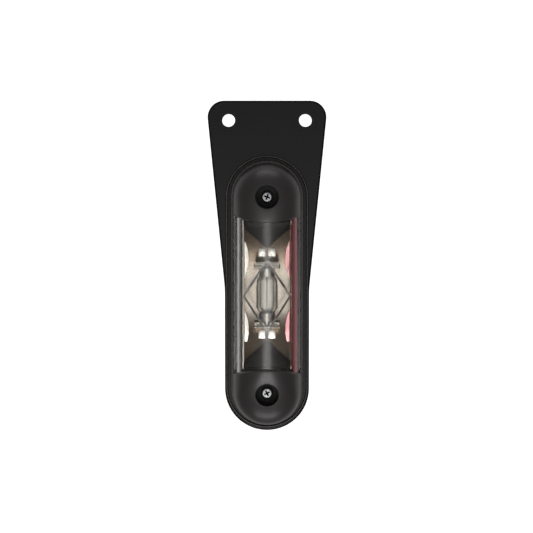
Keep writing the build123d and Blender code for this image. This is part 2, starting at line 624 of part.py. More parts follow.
def make_cover_screw(z):
    """M3 pan-head screw with a cross recess; the thread is a stack of ridges one pitch apart."""
    tip = SCREW_SEAT - SCREW_LENGTH
    head_top = SCREW_SEAT + SCREW_HEAD_HEIGHT
    head = peg(0, z, SCREW_HEAD_RADIUS, SCREW_SEAT, head_top)
    head = fillet(head.faces().sort_by(Axis.Y)[0].edges(), SCREW_HEAD_ROUND)
    length, width, depth = SCREW_CROSS
    for turn in (0, 90):
        slot = front(head_top - depth) * Pos(0, LAMP_CENTRE + z) * Rectangle(length, width, rotation=turn)
        head -= extrude(slot, amount=depth)
    screw = head + peg(0, z, SCREW_RADIUS, tip + THREAD_LENGTH, SCREW_SEAT)
    screw += peg(0, z, SCREW_ROOT_RADIUS, tip, tip + THREAD_LENGTH)
    profile_plane = Plane(origin=(0, 0, LAMP_CENTRE + z), x_dir=(1, 0, 0), z_dir=(0, 0, -1))
    turns = int(THREAD_LENGTH / SCREW_PITCH)
    for n in range(turns):
        low = tip + (n + 0.1) * SCREW_PITCH
        ridge = Polyline(
            (SCREW_ROOT_RADIUS - 0.2, low),
            (SCREW_ROOT_RADIUS, low),
            (SCREW_RADIUS, low + 0.35 * SCREW_PITCH),
            (SCREW_RADIUS, low + 0.45 * SCREW_PITCH),
            (SCREW_ROOT_RADIUS, low + 0.8 * SCREW_PITCH),
            (SCREW_ROOT_RADIUS - 0.2, low + 0.8 * SCREW_PITCH),
            close=True,
        )
        screw += revolve(profile_plane * make_face(ridge), axis=Axis((0, 0, LAMP_CENTRE + z), (0, 1, 0)))
    return screw


def main():
    upper_cap, lower_cap = both_ends(make_upper_end_cap())
    upper_strip, lower_strip = both_ends(make_terminal_strip())
    upper_leaf, lower_leaf = both_ends(make_contact_leaf())
    upper_baffle, lower_baffle = both_ends(make_baffle())
    parts = {
        "mounting_plate": make_mounting_plate(),
        "base_fixing_screws": make_base_fixing_screws(),
        "base_fixing_washers": make_base_fixing_washers(),
        "base_gasket": make_base_gasket(),
        "base_housing": make_base_housing(),
        "threaded_inserts": make_threaded_inserts(),
        "cover_seal": make_cover_seal(),
        "cable_grommet": make_cable_grommet(),
        "reflector": make_reflector(),
        "upper_baffle": upper_baffle,
        "lower_baffle": lower_baffle,
        "upper_terminal_strip": upper_strip,
        "lower_terminal_strip": lower_strip,
        "contact_rivets": make_contact_rivets(),
        "upper_contact_leaf": upper_leaf,
        "lower_contact_leaf": lower_leaf,
        "bulb_glass": make_bulb_glass(),
        "bulb_end_caps": make_bulb_end_caps(),
        "bulb_filament": make_bulb_filament(),
        "bulb_lead_wires": make_bulb_lead_wires(),
        "lens": make_lens(),
        "red_filter": make_red_filter(),
        "upper_end_cap": upper_cap,
        "lower_end_cap": lower_cap,
        "screw_retaining_rings": make_screw_retaining_rings(),
        "upper_cover_screw": make_cover_screw(HALF_SPAN),
        "lower_cover_screw": make_cover_screw(-HALF_SPAN),
    }
    os.makedirs("parts", exist_ok=True)
    for name, shape in parts.items():
        export_step(shape, f"parts/{name}.step")


main()
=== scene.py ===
"""The marker light's looks: its materials, its finely shaped pieces, and a plain studio round it."""

import math

import bmesh
import bpy
from mathutils import Matrix, Vector


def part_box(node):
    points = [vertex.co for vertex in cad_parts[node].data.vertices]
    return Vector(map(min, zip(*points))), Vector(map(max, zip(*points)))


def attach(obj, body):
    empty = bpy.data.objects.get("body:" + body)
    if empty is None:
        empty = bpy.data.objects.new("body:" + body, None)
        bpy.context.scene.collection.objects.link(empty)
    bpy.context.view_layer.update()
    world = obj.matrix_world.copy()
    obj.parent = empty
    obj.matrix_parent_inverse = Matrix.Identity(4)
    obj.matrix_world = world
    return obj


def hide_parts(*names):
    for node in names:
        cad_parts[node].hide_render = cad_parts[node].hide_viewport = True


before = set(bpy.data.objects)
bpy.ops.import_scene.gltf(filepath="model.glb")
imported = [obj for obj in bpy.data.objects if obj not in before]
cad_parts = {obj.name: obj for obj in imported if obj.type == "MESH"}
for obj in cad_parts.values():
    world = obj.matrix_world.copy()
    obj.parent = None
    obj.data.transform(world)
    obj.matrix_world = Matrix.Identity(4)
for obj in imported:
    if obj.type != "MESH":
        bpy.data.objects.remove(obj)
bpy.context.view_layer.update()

MM = 0.001
TINY = 1e-6
TO_FRONT = (math.pi / 2, 0, 0)           # turns a primitive's own axis from upright to square with the plate


def middle(node):
    low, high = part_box(node)
    return (low + high) / 2


LAMP = middle("base_housing").z          # the lamp's centre along the plate
HALF_SPAN = middle("upper_cover_screw").z - LAMP
SCREW_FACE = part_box("upper_cover_screw")[0].y
RECESS_START = SCREW_FACE + 0.25 * MM    # the painted shade in the driver recess lies between these two places in y
RECESS_END = SCREW_FACE + 2.35 * MM
RECESS_REACH = 2.0 * MM                  # from the screw's axis to the ends of the recess's arms
WELL_EDGE = 5.7 * MM                     # the caps' wells for the cover screws, radius at the mouth, inside which the shade is painted
RIDGE_CREST = 19.95 * MM                 # the plate's ridge, from the lamp's axis to the middle of its crest
RIDGE_FRONT = -4.5 * MM
RIM_CREST = 17.3 * MM                    # the base's rim, likewise
RIM_FRONT = -12.4 * MM
TINT_START = 12.3 * MM                   # the lens is clear up to here in x, and carries a painted red reflection of the red window from the next place on
TINT_FULL = 12.9 * MM
PAINTED_BEIGE_START = 9 * MM                    # the reflector is bright to here from its middle, then takes a painted beige reflection
PAINTED_BEIGE_FULL = 17 * MM
PAINTED_BEIGE_HALF_WIDTH = 10.9 * MM            # its side walls stay bright
TONE_PATCH_MM = 14                       # width of the broad, faint changes of tone on moulded parts
NOISE_LOW, NOISE_HIGH = 0.3, 0.7         # nearly all of a noise texture's values lie between these


# --- material tools -----------------------------------------------------------------------------------
def linear(code):
    """An sRGB colour such as "#1c1a1b" as the linear colour that shaders take."""
    channels = [int(code[start:start + 2], 16) / 255 for start in (1, 3, 5)]
    return (*[c / 12.92 if c <= 0.04045 else ((c + 0.055) / 1.055) ** 2.4 for c in channels], 1.0)


def add(tree, kind, settings=(), links=()):
    """Adds one shader node with its settings and incoming links.

    A setting is a socket's name or place, or a property of the node.
    """
    node = tree.nodes.new(kind)
    for name, value in dict(settings).items():
        if isinstance(name, int) or name in node.inputs:
            node.inputs[name].default_value = value
        else:
            setattr(node, name, value)
    for name, source in dict(links).items():
        tree.links.new(source, node.inputs[name])
    return node


def start(name, settings):
    """A material with one Principled shader, and that shader."""
    material = bpy.data.materials.new(name)
    material.use_nodes = True
    shader = material.node_tree.nodes["Principled BSDF"]
    for socket, value in settings.items():
        shader.inputs[socket].default_value = value
    return material, material.node_tree, shader


def vary_gloss(tree, shader, noise, roughness):
    """Lets a noise move the material's roughness between two values."""
    smooth, rough = roughness
    gloss = add(tree, "ShaderNodeMapRange",
                {"From Min": NOISE_LOW, "From Max": NOISE_HIGH, "To Min": smooth, "To Max": rough},
                {"Value": noise.outputs["Fac"]})
    tree.links.new(gloss.outputs["Result"], shader.inputs["Roughness"])


def grain(tree, shader, size_mm, depth_mm, tones, roughness):
    """A surface's grain: bumps of this size and depth, and the small change of tone and gloss they bring.

    A real tool's grain is near 0.1 mm and too fine to show, so the sizes are drawn several times coarser.
    """
    where = add(tree, "ShaderNodeTexCoord").outputs["Object"]
    fine = add(tree, "ShaderNodeTexNoise", {"Scale": 1 / (size_mm * MM), "Detail": 3.0, "Roughness": 0.6},
               {"Vector": where})
    broad = add(tree, "ShaderNodeTexNoise", {"Scale": 1 / (TONE_PATCH_MM * MM), "Detail": 2.0},
                {"Vector": where})
    bump = add(tree, "ShaderNodeBump", {"Strength": 1.0, "Distance": depth_mm * MM},
               {"Height": fine.outputs["Fac"]})
    tone = add(tree, "ShaderNodeValToRGB", {}, {"Fac": broad.outputs["Fac"]})
    for element, position, colour in zip(tone.color_ramp.elements, (NOISE_LOW, NOISE_HIGH), tones):
        element.position, element.color = position, linear(colour)
    tree.links.new(bump.outputs["Normal"], shader.inputs["Normal"])
    tree.links.new(tone.outputs["Color"], shader.inputs["Base Color"])
    vary_gloss(tree, shader, fine, roughness)


def haze(tree, shader, size_mm, roughness):
    """Broad, faint changes of polish over a clear material."""
    where = add(tree, "ShaderNodeTexCoord").outputs["Object"]
    broad = add(tree, "ShaderNodeTexNoise", {"Scale": 1 / (size_mm * MM), "Detail": 2.0}, {"Vector": where})
    vary_gloss(tree, shader, broad, roughness)


def shade_over(tree, shader, mask, colour, roughness):
    """Mixes another tone and gloss into the material wherever the mask is 1."""
    tone, gloss = (shader.inputs[name].links[0].from_socket for name in ("Base Color", "Roughness"))
    shade = add(tree, "ShaderNodeMix", {"data_type": "RGBA", 7: linear(colour)}, {0: mask, 6: tone})
    dull = add(tree, "ShaderNodeMix", {3: roughness}, {0: mask, 2: gloss})
    tree.links.new(shade.outputs[2], shader.inputs["Base Color"])
    tree.links.new(dull.outputs[0], shader.inputs["Roughness"])


def near_screws(tree, where, radius):
    """1 inside this radius of either cover screw's axis, and 0 outside it."""
    flat = add(tree, "ShaderNodeVectorMath", {"operation": "MULTIPLY", 1: (1, 0, 1)}, {0: where})
    masks = []
    for node in ("upper_cover_screw", "lower_cover_screw"):
        axis = middle(node)
        away = add(tree, "ShaderNodeVectorMath", {"operation": "DISTANCE", 1: (axis.x, 0, axis.z)},
                   {0: flat.outputs["Vector"]})
        masks.append(add(tree, "ShaderNodeMath", {"operation": "LESS_THAN", 1: radius},
                         {0: away.outputs["Value"]}))
    return add(tree, "ShaderNodeMath", {"operation": "MAXIMUM"},
               {0: masks[0].outputs[0], 1: masks[1].outputs[0]}).outputs[0]


def from_middle(tree, parts):
    """Distance along the lamp from its middle, either way, out of the separated coordinates."""
    along = add(tree, "ShaderNodeMath", {"operation": "SUBTRACT", 1: LAMP}, {0: parts.outputs["Z"]})
    return add(tree, "ShaderNodeMath", {"operation": "ABSOLUTE"}, {0: along.outputs[0]}).outputs[0]


def painted_highlight_line(tree, shader, radius, width, front):
    """Painted highlight: a grey line along a rim's crest, a round-ended outline at this radius."""
    where = add(tree, "ShaderNodeTexCoord").outputs["Object"]
    parts = add(tree, "ShaderNodeSeparateXYZ", {}, {0: where})
    past = add(tree, "ShaderNodeMath", {"operation": "SUBTRACT", 1: HALF_SPAN}, {0: from_middle(tree, parts)})
    end = add(tree, "ShaderNodeMath", {"operation": "MAXIMUM", 1: 0.0}, {0: past.outputs[0]})
    flat = add(tree, "ShaderNodeCombineXYZ", {}, {0: parts.outputs["X"], 1: end.outputs[0]})
    out = add(tree, "ShaderNodeVectorMath", {"operation": "LENGTH"}, {0: flat.outputs[0]})
    off = add(tree, "ShaderNodeMath", {"operation": "SUBTRACT", 1: radius}, {0: out.outputs["Value"]})
    near = add(tree, "ShaderNodeMath", {"operation": "ABSOLUTE"}, {0: off.outputs[0]})
    line = add(tree, "ShaderNodeMapRange",
               {"From Min": 0.5 * width, "From Max": width, "To Min": 1.0, "To Max": 0.0},
               {"Value": near.outputs[0]})
    raised = add(tree, "ShaderNodeMath", {"operation": "LESS_THAN", 1: front}, {0: parts.outputs["Y"]})
    mask = add(tree, "ShaderNodeMath", {"operation": "MULTIPLY"},
               {0: line.outputs["Result"], 1: raised.outputs[0]})
    shade_over(tree, shader, mask.outputs[0], "#6e6a69", roughness=0.3)


# --- modelling tools ----------------------------------------------------------------------------------
def only(*pieces):
    """Selects these pieces and nothing else, with the first one active."""
    bpy.ops.object.select_all(action="DESELECT")
    for piece in pieces:
        piece.select_set(True)
    bpy.context.view_layer.objects.active = pieces[0]


def fresh(name, kind, **settings):
    """Starts a piece from a primitive, with nothing else selected and its place in its mesh."""
    bpy.ops.object.select_all(action="DESELECT")
    getattr(bpy.ops.mesh, f"primitive_{kind}_add")(**settings)
    piece = bpy.context.object
    piece.name = piece.data.name = name
    bpy.ops.object.transform_apply(location=True, rotation=True, scale=True)
    return piece


def edit(piece):
    """Makes this piece the only selected one and enters edit mode."""
    only(piece)
    bpy.ops.object.mode_set(mode="EDIT")


def leave():
    bpy.ops.object.mode_set(mode="OBJECT")


def pick(what, test):
    """In edit mode, selects only the vertices, edges or faces whose middle passes the test."""
    bpy.ops.mesh.select_all(action="DESELECT")
    bpy.ops.mesh.select_mode(type=what)
    mesh = bmesh.from_edit_mesh(bpy.context.object.data)
    for item in {"VERT": mesh.verts, "EDGE": mesh.edges, "FACE": mesh.faces}[what]:
        centre = item.co if what == "VERT" else sum((v.co for v in item.verts), Vector()) / len(item.verts)
        item.select_set(test(centre))
    mesh.select_flush_mode()
    bmesh.update_edit_mesh(bpy.context.object.data)


def pick_open_edges():
    """In edit mode, selects only the edges that bound an opening."""
    bpy.ops.mesh.select_all(action="DESELECT")
    bpy.ops.mesh.select_mode(type="EDGE")
    bpy.ops.mesh.select_non_manifold()


def merge_doubles():
    bpy.ops.mesh.select_all(action="SELECT")
    bpy.ops.mesh.remove_doubles(threshold=TINY)


def face_outwards():
    """In edit mode, turns every face of a closed piece outwards."""
    bpy.ops.mesh.select_all(action="SELECT")
    bpy.ops.mesh.normals_make_consistent(inside=False)


def soften(radius):
    """In edit mode, rounds the selected edges."""
    bpy.ops.mesh.bevel(offset=radius, segments=3, affect="EDGES", clamp_overlap=True)


def round_edges(piece, width, segments):
    """Rounds every sharp edge of the piece with a modifier that stays live."""
    edges = piece.modifiers.new("edge_round", "BEVEL")
    edges.width, edges.segments, edges.limit_method = width, segments, "ANGLE"


def apply(piece, kind, **settings):
    """Adds one modifier to the piece and applies it."""
    only(piece)
    modifier = piece.modifiers.new(kind.lower(), kind)
    for name, value in settings.items():
        setattr(modifier, name, value)
    bpy.ops.object.modifier_apply(modifier=modifier.name)


def cut(piece, tool, operation="DIFFERENCE"):
    """Cuts the piece with a tool, or joins them, and throws the tool away."""
    apply(piece, "BOOLEAN", object=tool, operation=operation, solver="EXACT")
    bpy.data.objects.remove(tool)


def joined(pieces):
    """Several solids as one piece, which keeps the first one's name."""
    only(*pieces)
    bpy.ops.object.join()
    return pieces[0]


def mirrored(piece, name):
    """The lower end's twin of a piece, with its own mesh, turned over about the lamp's middle."""
    twin = piece.copy()
    twin.data = piece.data.copy()
    twin.name = twin.data.name = name
    bpy.context.scene.collection.objects.link(twin)
    twin.data.transform(Matrix.Translation((0, 0, LAMP)) @ Matrix.Scale(-1, 4, (0, 0, 1))
                        @ Matrix.Translation((0, 0, -LAMP)))
    edit(twin)
    face_outwards()
    leave()
    return twin


def bar(name, x, z, radius, front, back, vertices=48):
    """A round bar square to the plate, between two places in y."""
    return fresh(name, "cylinder", vertices=vertices, radius=radius, depth=back - front,
                 location=(x, (front + back) / 2, z), rotation=TO_FRONT)


def block(name, size, x, height, z, tilt=0.0):
    """A box centred at x, at a height over the back face and at z along the lamp, tilted about its width."""
    return fresh(name, "cube", size=1, scale=size, location=(x, -height, LAMP + z), rotation=(tilt, 0, 0))


def place(piece, body, nodes, finish, sharp=35):
    """Finishes a piece: smooth shading, its material, its body, and hides the CAD nodes that it stands for."""
    only(piece)
    bpy.ops.object.shade_smooth_by_angle(angle=math.radians(sharp))
    piece.data.materials.clear()
    piece.data.materials.append(finish)
    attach(piece, body)
    if nodes:
        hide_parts(*nodes)


# --- materials ----------------------------------------------------------------------------------------
def plate_plastic():
    """Black ABS from a finely etched tool: an even satin that takes broad, soft reflections."""
    material, tree, shader = start("abs_moulded_satin", {"IOR": 1.5, "Specular IOR Level": 0.27})
    grain(tree, shader, size_mm=0.8, depth_mm=0.006, tones=("#120e0f", "#161213"), roughness=(0.24, 0.3))
    # painted highlight along the crest of the plate's ridge
    painted_highlight_line(tree, shader, RIDGE_CREST, 0.3 * MM, RIDGE_FRONT)
    return material


def base_plastic():
    """Black ABS from a smoother tool than the plate's, with a thin painted highlight along its rounded rim."""
    material, tree, shader = start("abs_moulded_semigloss", {"IOR": 1.5})
    grain(tree, shader, size_mm=0.9, depth_mm=0.006, tones=("#141212", "#191717"), roughness=(0.24, 0.32))
    # painted highlight along the crest of the base's rim
    painted_highlight_line(tree, shader, RIM_CREST, 0.25 * MM, RIM_FRONT)
    return material


def cap_plastic():
    """Charcoal polypropylene from a spark-eroded tool: a soft sheen, and painted shade that turns the deep
    wells black.
    """
    material, tree, shader = start("polypropylene_spark_grained", {"IOR": 1.56, "Specular IOR Level": 1.0})
    grain(tree, shader, size_mm=0.7, depth_mm=0.01, tones=("#3b3637", "#423d3d"), roughness=(0.3, 0.38))
    where = add(tree, "ShaderNodeTexCoord").outputs["Object"]
    # painted shade: near black and matt within the wells round each screw's axis
    shade_over(tree, shader, near_screws(tree, where, WELL_EDGE), "#080808", roughness=0.8)
    return material


def clear_polycarbonate():
    """Clear polycarbonate from a polished tool: smooth, glassy, with a painted red reflection of the red window
    behind it over its flank.
    """
    material, tree, shader = start("polycarbonate_moulded_clear", {"IOR": 1.58, "Transmission Weight": 1.0})
    where = add(tree, "ShaderNodeTexCoord").outputs["Object"]
    across = add(tree, "ShaderNodeSeparateXYZ", {}, {0: where}).outputs["X"]
    # painted red reflection of the red window over the lens's flank
    flank = add(tree, "ShaderNodeMapRange", {"From Min": TINT_START, "From Max": TINT_FULL},
                {"Value": across})
    tint = add(tree, "ShaderNodeMix", {"data_type": "RGBA", 6: linear("#f9f9f7"), 7: linear("#cc6a70")},
               {0: flank.outputs["Result"]})
    tree.links.new(tint.outputs[2], shader.inputs["Base Color"])
    haze(tree, shader, size_mm=6, roughness=(0.008, 0.025))
    return material


def red_polycarbonate():
    """Red polycarbonate sheet, polished on both sides: glassy, and deep red only where looked through."""
    material, tree, shader = start("polycarbonate_red_polished", {
        "Base Color": linear("#c81e28"), "IOR": 1.58, "Transmission Weight": 1.0})
    haze(tree, shader, size_mm=8, roughness=(0.02, 0.045))
    return material


def metallised():
    """Aluminium laid on a moulding in a vacuum: a soft mirror with a faint ripple, and a painted beige
    reflection towards its ends.
    """
    material, tree, shader = start("aluminium_vacuum_metallised", {"Metallic": 1.0})
    grain(tree, shader, size_mm=2.2, depth_mm=0.004, tones=("#cdc5b9", "#d8d0c6"), roughness=(0.18, 0.24))
    where = add(tree, "ShaderNodeTexCoord").outputs["Object"]
    parts = add(tree, "ShaderNodeSeparateXYZ", {}, {0: where})
    # painted reflection and shade: the floor turns darker and beige towards the ends
    painted_beige = add(tree, "ShaderNodeMapRange", {"From Min": PAINTED_BEIGE_START, "From Max": PAINTED_BEIGE_FULL},
               {"Value": from_middle(tree, parts)})
    across = add(tree, "ShaderNodeMath", {"operation": "ABSOLUTE"}, {0: parts.outputs["X"]})
    floor = add(tree, "ShaderNodeMath", {"operation": "LESS_THAN", 1: PAINTED_BEIGE_HALF_WIDTH},
                {0: across.outputs[0]})
    mask = add(tree, "ShaderNodeMath", {"operation": "MULTIPLY"},
               {0: painted_beige.outputs["Result"], 1: floor.outputs[0]})
    shade_over(tree, shader, mask.outputs[0], "#a39281", roughness=0.26)
    return material


def bright_facet():
    """The same aluminium over polished facets, so the pads over the contacts shine out of the dish."""
    material, tree, shader = start("aluminium_metallised_facet", {"Metallic": 1.0})
    grain(tree, shader, size_mm=1.5, depth_mm=0.002, tones=("#f4f1ea", "#faf8f3"), roughness=(0.1, 0.14))
    return material


def painted_red_reflection():
    """Painted red reflection on the aluminium: pink where the lobes reflect the red window."""
    material, tree, shader = start("aluminium_metallised_red_lacquer", {"Metallic": 1.0})
    grain(tree, shader, size_mm=2.0, depth_mm=0.003, tones=("#ffbcc1", "#ffc8cb"), roughness=(0.12, 0.16))
    return material


def baffle_plastic():
    """Charcoal ABS from a dull tool: a flat, even grey that keeps stray light off the ends of the dish."""
    material, tree, shader = start("abs_moulded_dull", {"IOR": 1.5})
    grain(tree, shader, size_mm=0.6, depth_mm=0.003, tones=("#3a3735", "#403d3b"), roughness=(0.42, 0.5))
    return material


def rubber():
    """Moulded EPDM rubber: black and matt, with no clear highlight."""
    material, tree, shader = start("epdm_moulded_matte", {"IOR": 1.5})
    grain(tree, shader, size_mm=0.5, depth_mm=0.01, tones=("#141414", "#191919"), roughness=(0.7, 0.85))
    return material


def foam():
    """Neoprene foam cut from a sheet: dead matt, with open cells that pit its edges."""
    material, tree, shader = start("neoprene_foam_cut", {"IOR": 1.5})
    grain(tree, shader, size_mm=0.9, depth_mm=0.08, tones=("#161616", "#202020"), roughness=(0.85, 0.95))
    return material


def zinc():
    """Rolled steel, bright zinc plated: silvery, a little uneven, with painted shade in the drivers' recesses.
    """
    material, tree, shader = start("steel_zinc_plated", {"Metallic": 1.0})
    grain(tree, shader, size_mm=0.35, depth_mm=0.004, tones=("#a7aaad", "#babdbf"), roughness=(0.26, 0.36))
    where = add(tree, "ShaderNodeTexCoord").outputs["Object"]
    back = add(tree, "ShaderNodeSeparateXYZ", {}, {0: where}).outputs["Y"]
    behind_face = add(tree, "ShaderNodeMath", {"operation": "GREATER_THAN", 1: RECESS_START}, {0: back})
    before_seat = add(tree, "ShaderNodeMath", {"operation": "LESS_THAN", 1: RECESS_END}, {0: back})
    depth = add(tree, "ShaderNodeMath", {"operation": "MULTIPLY"},
                {0: behind_face.outputs[0], 1: before_seat.outputs[0]})
    recess = add(tree, "ShaderNodeMath", {"operation": "MULTIPLY"},
                 {0: near_screws(tree, where, RECESS_REACH), 1: depth.outputs[0]})
    # painted shade: the driver recess is dark grey and dull
    shade_over(tree, shader, recess.outputs[0], "#26272a", roughness=0.5)
    return material


def brass():
    """Half-hard brass strip, stamped: warm, with the dull streaks of the rolling mill."""
    material, tree, shader = start("brass_stamped", {"Metallic": 1.0})
    grain(tree, shader, size_mm=0.6, depth_mm=0.004, tones=("#bd9850", "#cfac66"), roughness=(0.26, 0.38))
    return material


def nickel():
    """Brass spring strip under bright nickel: a warm white shine."""
    material, tree, shader = start("brass_nickel_plated", {"Metallic": 1.0})
    grain(tree, shader, size_mm=0.8, depth_mm=0.003, tones=("#d3cfc6", "#dedbd3"), roughness=(0.16, 0.24))
    return material


def tungsten():
    """Drawn tungsten wire, oxidised grey by the heat of the lamp."""
    material, tree, shader = start("tungsten_drawn", {"Metallic": 1.0})
    grain(tree, shader, size_mm=0.3, depth_mm=0.002, tones=("#7f7e7c", "#949390"), roughness=(0.35, 0.45))
    return material


def bulb_glass():
    """Soda-lime glass blown in a mould: clear, with the faintest waviness of its skin."""
    material, tree, shader = start("soda_lime_glass_blown", {
        "Base Color": linear("#fbfcfc"), "IOR": 1.5, "Transmission Weight": 1.0})
    haze(tree, shader, size_mm=5, roughness=(0.0, 0.012))
    return material


FINISHES = {
    "mounting_plate": plate_plastic(),
    "base_housing": base_plastic(),
    "upper_end_cap": cap_plastic(),
    "lens": clear_polycarbonate(),
    "red_filter": red_polycarbonate(),
    "reflector": metallised(),
    "upper_baffle": baffle_plastic(),
    "cover_seal": rubber(),
    "base_gasket": foam(),
    "base_fixing_screws": zinc(),
    "upper_terminal_strip": brass(),
    "bulb_end_caps": nickel(),
    "bulb_filament": tungsten(),
    "bulb_glass": bulb_glass(),
}
SAME = {
    "lower_end_cap": "upper_end_cap",
    "cable_grommet": "cover_seal",
    "screw_retaining_rings": "cover_seal",
    "base_fixing_washers": "base_fixing_screws",
    "upper_cover_screw": "base_fixing_screws",
    "lower_cover_screw": "base_fixing_screws",
    "lower_terminal_strip": "upper_terminal_strip",
    "contact_rivets": "upper_terminal_strip",
    "upper_contact_leaf": "bulb_end_caps",
    "lower_contact_leaf": "bulb_end_caps",
    "lower_baffle": "upper_baffle",
    "threaded_inserts": "upper_terminal_strip",
    "bulb_lead_wires": "bulb_filament",
}
for name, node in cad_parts.items():
    for held in node.material_slots:
        held.material = FINISHES[SAME.get(name, name)]


# --- screws and filament ------------------------------------------------------------------------------
HEAD_RADIUS = 2.8 * MM
HEAD_HEIGHT = 2.4 * MM
HEAD_ROUND = 1.25 * MM
SHANK_RADIUS = 1.5 * MM
SHANK_ROOT = 0.05 * MM                # how far the shank runs into the head
ARM_SIZE = (1.95 * MM, 1.45 * MM, 0.5 * MM)      # half the length, depth and width of the recess's cutter
ARM_SINK = 0.45 * MM                  # from the head's face to the cutter's middle
ARM_TAPER = 0.3                       # its deep end against its middle
TICK_SIZE = (1.95 * MM, 0.22 * MM, 0.11 * MM)    # the fine lines between the arms, likewise
CORE_RADIUS = 0.72 * MM
CORE_DEPTH = 1.5 * MM
ROOT_RADIUS = 1.22 * MM
THREAD_PITCH = 0.5 * MM
THREAD_TURNS = 12
THREAD_STEPS = 24
THREAD_OUTLINE = (                    # radius, and how far up one pitch
    (ROOT_RADIUS, 0), (ROOT_RADIUS, 0.2), (SHANK_RADIUS, 0.5), (SHANK_RADIUS, 0.6), (ROOT_RADIUS, 0.9),
    (ROOT_RADIUS, 1))
COIL_RADIUS = 0.24 * MM
COIL_WIRE = 0.055 * MM
COIL_PITCH = 0.2 * MM
COIL_STEPS = 12
SCREWS = (                            # piece, CAD node, body, and the turn of its recess in radians
    ("upper_screw_pozidriv", "upper_cover_screw", "upper_screw", 0.35),
    ("lower_screw_pozidriv", "lower_cover_screw", "lower_screw", 1.1))


def pan_head_screw(name, node, turn):
    """M3 pan-head screw with a star-shaped cross recess and a rolled thread."""
    low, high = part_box(node)
    x, z = (low.x + high.x) / 2, (low.z + high.z) / 2
    seat = low.y + HEAD_HEIGHT
    screw = bar(name, x, z, HEAD_RADIUS, low.y, seat, 64)
    edit(screw)
    pick("EDGE", lambda m: abs(m.y - low.y) < TINY and math.hypot(m.x - x, m.z - z) > 0.9 * HEAD_RADIUS)
    bpy.ops.mesh.bevel(offset=HEAD_ROUND, segments=7, profile=0.62)
    leave()
    for arm in range(2):
        wide = fresh("recess_arm", "cube", location=(x, low.y + ARM_SINK, z), scale=ARM_SIZE,
                     rotation=(0, turn + arm * math.pi / 2, 0))
        edit(wide)
        pick("VERT", lambda m: m.y > low.y)
        bpy.ops.transform.resize(value=(ARM_TAPER, 1, ARM_TAPER), center_override=(x, low.y, z))
        leave()
        cut(screw, wide)
        cut(screw, fresh("recess_tick", "cube", location=(x, low.y, z), scale=TICK_SIZE,
                         rotation=(0, turn + (arm + 0.5) * math.pi / 2, 0)))
    cut(screw, bar("recess_core", x, z, CORE_RADIUS, low.y - MM, low.y + CORE_DEPTH, 8))
    thread_top = high.y - THREAD_TURNS * THREAD_PITCH
    cut(screw, bar("shank", x, z, SHANK_RADIUS, seat - SHANK_ROOT, thread_top), "UNION")
    return joined([screw, rolled_thread(x, z, thread_top)])


def rolled_thread(x, z, top):
    """A helical thread: one pitch of its outline, turned and raised round the axis, closed at both ends."""
    outline = fresh("thread", "plane", size=1)
    edit(outline)
    bpy.ops.mesh.select_all(action="SELECT")
    bpy.ops.mesh.merge(type="CENTER")
    mesh = bmesh.from_edit_mesh(outline.data)
    mesh.verts.ensure_lookup_table()
    mesh.verts[0].co = (ROOT_RADIUS, 0, 0)
    mesh.verts[0].select_set(True)
    bmesh.update_edit_mesh(outline.data)
    here = Vector((ROOT_RADIUS, 0, 0))
    for radius, share in THREAD_OUTLINE[1:]:
        there = Vector((radius, 0, share * THREAD_PITCH))
        bpy.ops.mesh.extrude_vertices_move(TRANSFORM_OT_translate={"value": there - here})
        here = there
    leave()
    apply(outline, "SCREW", angle=2 * math.pi, screw_offset=THREAD_PITCH, iterations=THREAD_TURNS - 1,
          steps=THREAD_STEPS, render_steps=THREAD_STEPS, axis="Z", use_merge_vertices=True,
          merge_threshold=TINY)
    edit(outline)
    merge_doubles()
    pick_open_edges()
    bpy.ops.mesh.fill_holes(sides=0)
    face_outwards()
    leave()
    outline.data.transform(Matrix.Translation((x, top, z)) @ Matrix.Rotation(-math.pi / 2, 4, "X"))
    return outline


def filament():
    """The bulb's filament, one fine wire wound in a close coil along the bulb."""
    low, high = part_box("bulb_filament")
    turns = int((high.z - low.z - 2 * COIL_WIRE) / COIL_PITCH)
    coil = fresh("bulb_filament_coil", "circle", vertices=8, radius=COIL_WIRE, location=(COIL_RADIUS, 0, 0),
                 rotation=TO_FRONT)
    apply(coil, "SCREW", angle=2 * math.pi, screw_offset=COIL_PITCH, iterations=turns, steps=COIL_STEPS,
          render_steps=COIL_STEPS, axis="Z")
    edit(coil)
    pick_open_edges()
    bpy.ops.mesh.fill_holes(sides=0)
    face_outwards()
    leave()
    coil.data.transform(Matrix.Translation(((low.x + high.x) / 2, (low.y + high.y) / 2, low.z + COIL_WIRE)))
    return coil


for name, node, body, turn in SCREWS:
    place(pan_head_screw(name, node, turn), body, [node], FINISHES["base_fixing_screws"])
place(filament(), "bulb", ["bulb_filament"], FINISHES["bulb_filament"])


# --- end caps -----------------------------------------------------------------------------------------
CAP_RADIUS = 16.4 * MM
CAP_REACH = 12.3 * MM                 # from the crown of the lens-side edge to the middle of the round end
CAP_RIM = 12.8 * MM
CAP_SKIRT = 18.0 * MM
CAP_CROWN = 33.5 * MM
CAP_WALL = 1.2 * MM
CAP_SAG = 3.3 * MM                    # how far the lens-side edge falls back at the sides
CAP_SIDES = 96
CAP_LAYERS = 18
LIP_ROUND = 0.8 * MM
LIP_STEPS = 4
WELL_BLOCK_INSET = 0.3 * MM
WELL_RADIUS = 5.6 * MM
WELL_OUTSIDE = 6.8 * MM
WELL_SIDES = 72
WELL_MOUTH_ROUND = 0.3 * MM
WELL_MOUTH_REACH = 4.5 * MM           # the well's mouth on the sloping dome lies within this of the crown
SCREW_SEAT = 22.6 * MM
WEB_BOTTOM = 20.1 * MM
CLEARANCE_RADIUS = 1.75 * MM


